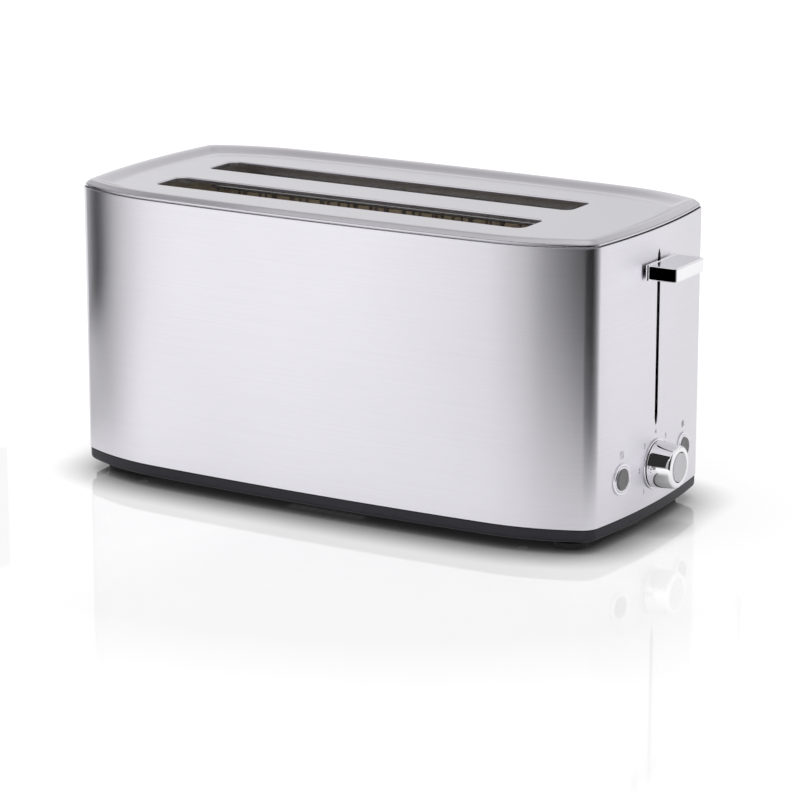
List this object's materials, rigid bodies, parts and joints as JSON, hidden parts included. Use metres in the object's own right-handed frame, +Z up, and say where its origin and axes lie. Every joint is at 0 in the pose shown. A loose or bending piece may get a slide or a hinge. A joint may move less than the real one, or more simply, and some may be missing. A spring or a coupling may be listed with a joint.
{
  "type": "long slot toaster",
  "caption": "Long brushed steel toaster with two full-length slots, a side lever, a browning knob, round push buttons and a slide-out crumb tray.",
  "frame": {"origin": "middle of the whole footprint, on the surface that the feet stand on", "axes": "+X along the length towards the lever, +Y towards the back where the mains cord enters, +Z up"},
  "size_m": [0.41, 0.1876, 0.1945],
  "materials": {
    "brushed_sleeve": "brushed stainless steel with a level grain",
    "satin_plate": "satin stainless steel",
    "bright_sheet": "bright aluminised sheet steel",
    "zinc_steel": "zinc plated steel",
    "ground_steel": "ground steel",
    "spring_steel": "drawn spring wire",
    "soft_iron": "plated soft iron",
    "guide_wire": "bright plated wire",
    "polished_chrome": "polished chrome",
    "grey_cap": "satin grey plastic",
    "black_base": "black moulded plastic with a fine texture",
    "black_bush": "black moulded plastic",
    "slide_plastic": "dark heat resistant plastic",
    "terminal_plastic": "cream moulded plastic",
    "foot_rubber": "black rubber",
    "board_laminate": "tan circuit board",
    "board_parts": "dark moulded parts",
    "mica_board": "pale mica board",
    "heater_ribbon": "oxidised resistance ribbon",
    "copper_winding": "enamelled copper winding"
  },
  "bodies": {
    "housing": {"housing_shell": "brushed_sleeve", "top_plate": "satin_plate", "base": "black_base", "feet": "foot_rubber", "base_screws": "zinc_steel", "cord_gland": "black_bush", "guide_rods": "ground_steel", "return_springs": "spring_steel", "control_end_plate": "bright_sheet", "far_end_plate": "bright_sheet", "front_reflector": "bright_sheet", "back_reflector": "bright_sheet", "knob_bezel": "polished_chrome", "reheat_bezel": "polished_chrome", "defrost_bezel": "polished_chrome", "control_carrier": "slide_plastic", "circuit_board": "board_laminate", "board_screws": "zinc_steel", "board_parts": "board_parts", "potentiometer": "board_parts", "push_switches": "board_parts", "magnet_bracket": "zinc_steel", "magnet_core": "soft_iron", "magnet_coil": "copper_winding", "mains_switch": "black_bush", "terminal_block": "terminal_plastic", "front_outer_heater": "mica_board", "front_outer_ribbon": "heater_ribbon", "front_inner_heater": "mica_board", "front_inner_ribbon": "heater_ribbon", "back_outer_heater": "mica_board", "back_outer_ribbon": "heater_ribbon", "back_inner_heater": "mica_board", "back_inner_ribbon": "heater_ribbon"},
    "carriage": {"lever_knob": "polished_chrome", "lever_arm": "zinc_steel", "carriage_plate": "zinc_steel", "carriage_slides": "slide_plastic", "front_bread_rack": "zinc_steel", "back_bread_rack": "zinc_steel", "armature_plate": "soft_iron"},
    "knob": {"browning_knob": "polished_chrome"},
    "cancel": {"cancel_button": "grey_cap"},
    "reheat": {"reheat_button": "grey_cap"},
    "defrost": {"defrost_button": "grey_cap"},
    "tray": {"crumb_tray": "bright_sheet", "tray_pull": "black_base"},
    "front_outer_guide_body": {"front_outer_guide": "guide_wire"},
    "front_inner_guide_body": {"front_inner_guide": "guide_wire"},
    "back_outer_guide_body": {"back_outer_guide": "guide_wire"},
    "back_inner_guide_body": {"back_inner_guide": "guide_wire"}
  },
  "joints": [
    {"name": "lever_slide", "type": "slide", "parent": "housing", "child": "carriage", "axis": [0, 0, -1], "range_m": [-0.0065, 0.092], "stiffness_N_per_m": 30, "springref_m": -0.0568, "deforming": ["return_springs"]},
    {"name": "browning_knob_turn", "type": "hinge", "parent": "housing", "child": "knob", "pos_m": [0.19, 0, 0.041], "axis": [-1, 0, 0], "range_deg": [-45, 225]},
    {"name": "cancel_press", "type": "slide", "parent": "housing", "child": "cancel", "axis": [-1, 0, 0], "range_m": [0, 0.0015], "stiffness_N_per_m": 300, "springref_m": -0.0015},
    {"name": "reheat_press", "type": "slide", "parent": "housing", "child": "reheat", "axis": [-1, 0, 0], "range_m": [0, 0.0015], "stiffness_N_per_m": 300, "springref_m": -0.0015},
    {"name": "defrost_press", "type": "slide", "parent": "housing", "child": "defrost", "axis": [-1, 0, 0], "range_m": [0, 0.0015], "stiffness_N_per_m": 300, "springref_m": -0.0015},
    {"name": "crumb_tray_slide", "type": "slide", "parent": "housing", "child": "tray", "axis": [-1, 0, 0], "range_m": [0, 0.29]},
    {"name": "front_outer_guide_tilt", "type": "hinge", "parent": "housing", "child": "front_outer_guide_body", "pos_m": [-0.0195, -0.045, 0.04], "axis": [-1, 0, 0], "range_deg": [-0.3, 2.7]},
    {"name": "front_inner_guide_tilt", "type": "hinge", "parent": "housing", "child": "front_inner_guide_body", "pos_m": [-0.0195, -0.017, 0.04], "axis": [1, 0, 0], "range_deg": [-0.3, 2.7]},
    {"name": "back_inner_guide_tilt", "type": "hinge", "parent": "housing", "child": "back_inner_guide_body", "pos_m": [-0.0195, 0.017, 0.04], "axis": [-1, 0, 0], "range_deg": [-0.3, 2.7]},
    {"name": "back_outer_guide_tilt", "type": "hinge", "parent": "housing", "child": "back_outer_guide_body", "pos_m": [-0.0195, 0.045, 0.04], "axis": [1, 0, 0], "range_deg": [-0.3, 2.7]}
  ],
  "couplings": [
    {"joint": "front_outer_guide_tilt", "follows": "lever_slide", "rad_per_m": 0.474},
    {"joint": "front_inner_guide_tilt", "follows": "lever_slide", "rad_per_m": 0.474},
    {"joint": "back_inner_guide_tilt", "follows": "lever_slide", "rad_per_m": 0.474},
    {"joint": "back_outer_guide_tilt", "follows": "lever_slide", "rad_per_m": 0.474}
  ]
}
